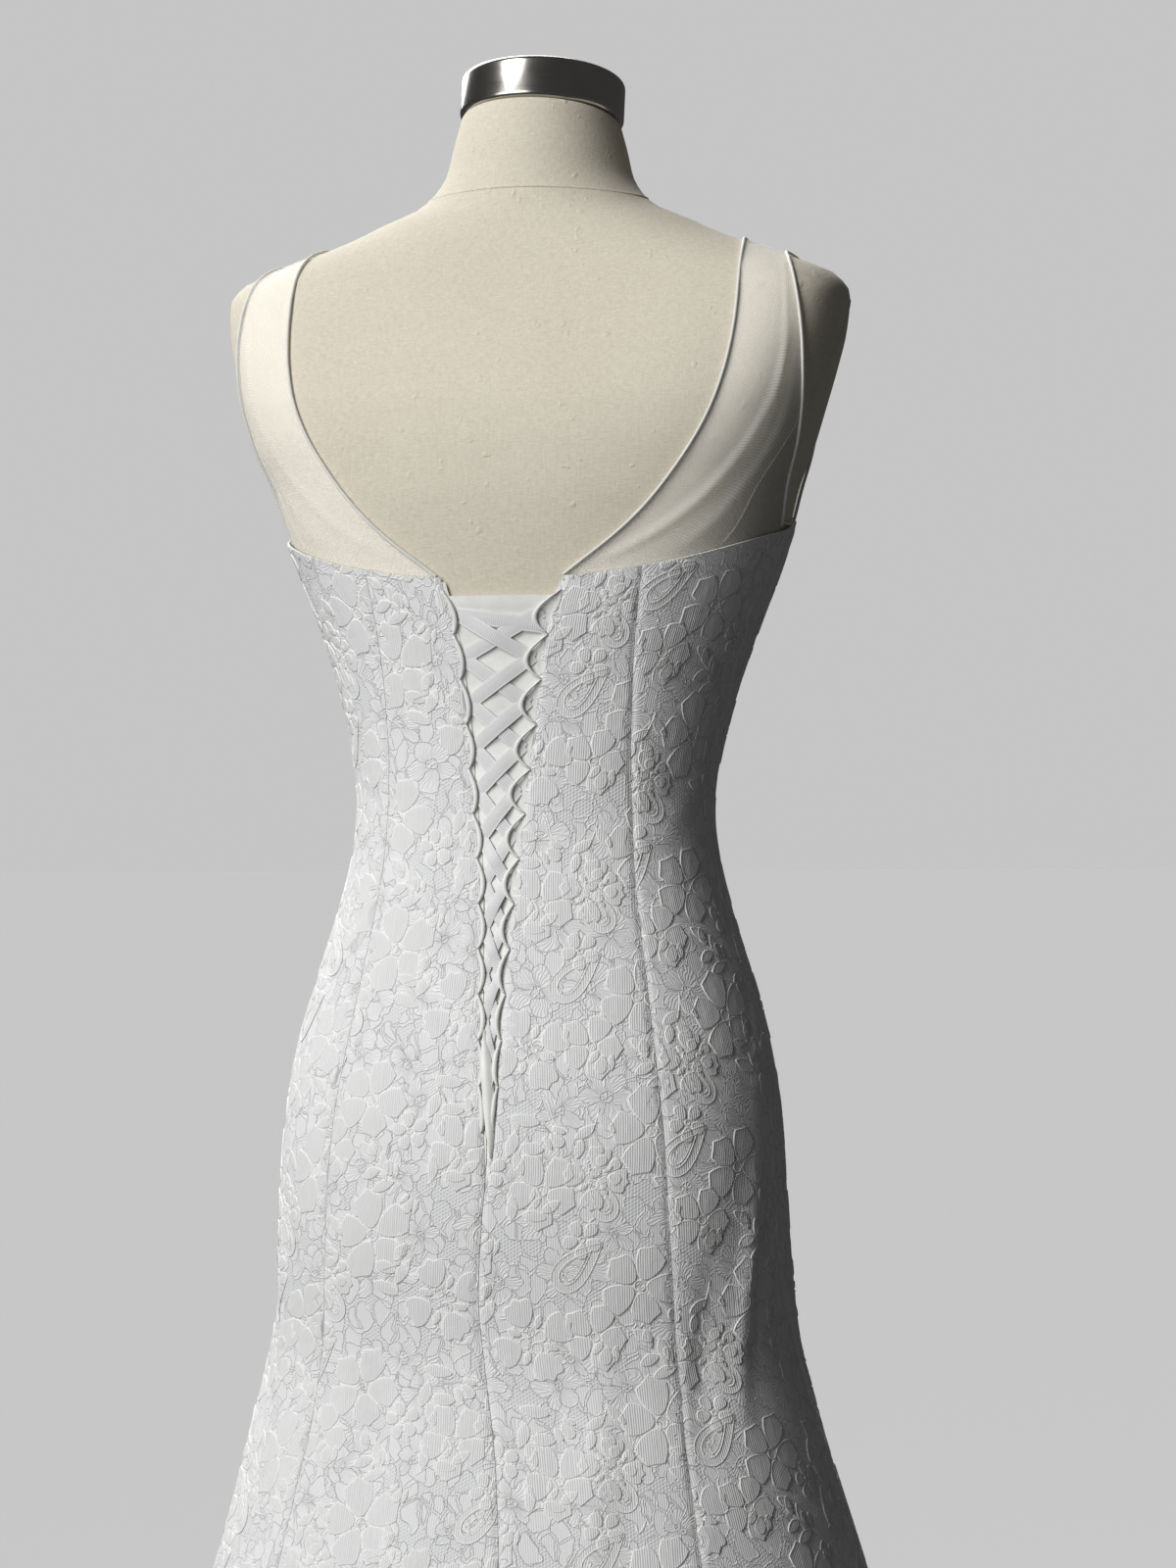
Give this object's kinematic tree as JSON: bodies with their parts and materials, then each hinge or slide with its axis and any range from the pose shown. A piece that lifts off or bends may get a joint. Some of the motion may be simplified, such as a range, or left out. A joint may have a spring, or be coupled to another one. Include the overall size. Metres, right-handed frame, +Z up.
{
  "type": "wedding dress on a dress form",
  "caption": "Sleeveless trumpet wedding dress in corded lace over satin, laced up the back, on a limbless linen dress form with a stand.",
  "frame": {"origin": "on the floor, at the middle of the underside of the stand's base", "axes": "+Z up the dress from hem to neck, -Y towards its front, +Y towards its laced back, +X towards the wearer's left"},
  "size_m": [0.8219, 0.7225, 1.5377],
  "materials": {
    "lace_over_satin": "corded white lace over matt satin",
    "sheer_mesh": "sheer fine net",
    "satin": "satin",
    "form_linen": "cream slubbed linen",
    "polished_metal": "dark, polished",
    "painted_metal": "black, satin"
  },
  "bodies": {
    "root": {"center_front": "lace_over_satin", "side_front_L": "lace_over_satin", "side_front_R": "lace_over_satin", "side_back_L": "lace_over_satin", "side_back_R": "lace_over_satin", "center_back_L": "lace_over_satin", "center_back_R": "lace_over_satin", "yoke_back_L": "sheer_mesh", "yoke_back_R": "sheer_mesh", "yoke_front_L": "sheer_mesh", "yoke_front_R": "sheer_mesh", "modesty_panel": "satin", "lacing_loops_L": "satin", "lacing_loops_R": "satin", "lacing_ribbon_A": "satin", "lacing_ribbon_B": "satin", "lacing_ribbon_top": "satin", "neck_binding_L": "satin", "neck_binding_R": "satin", "armhole_binding_L": "satin", "armhole_binding_R": "satin", "form_torso": "form_linen", "form_neck_cap": "polished_metal", "form_pole": "painted_metal", "form_collar": "painted_metal", "form_base": "painted_metal"}
  },
  "joints": []
}
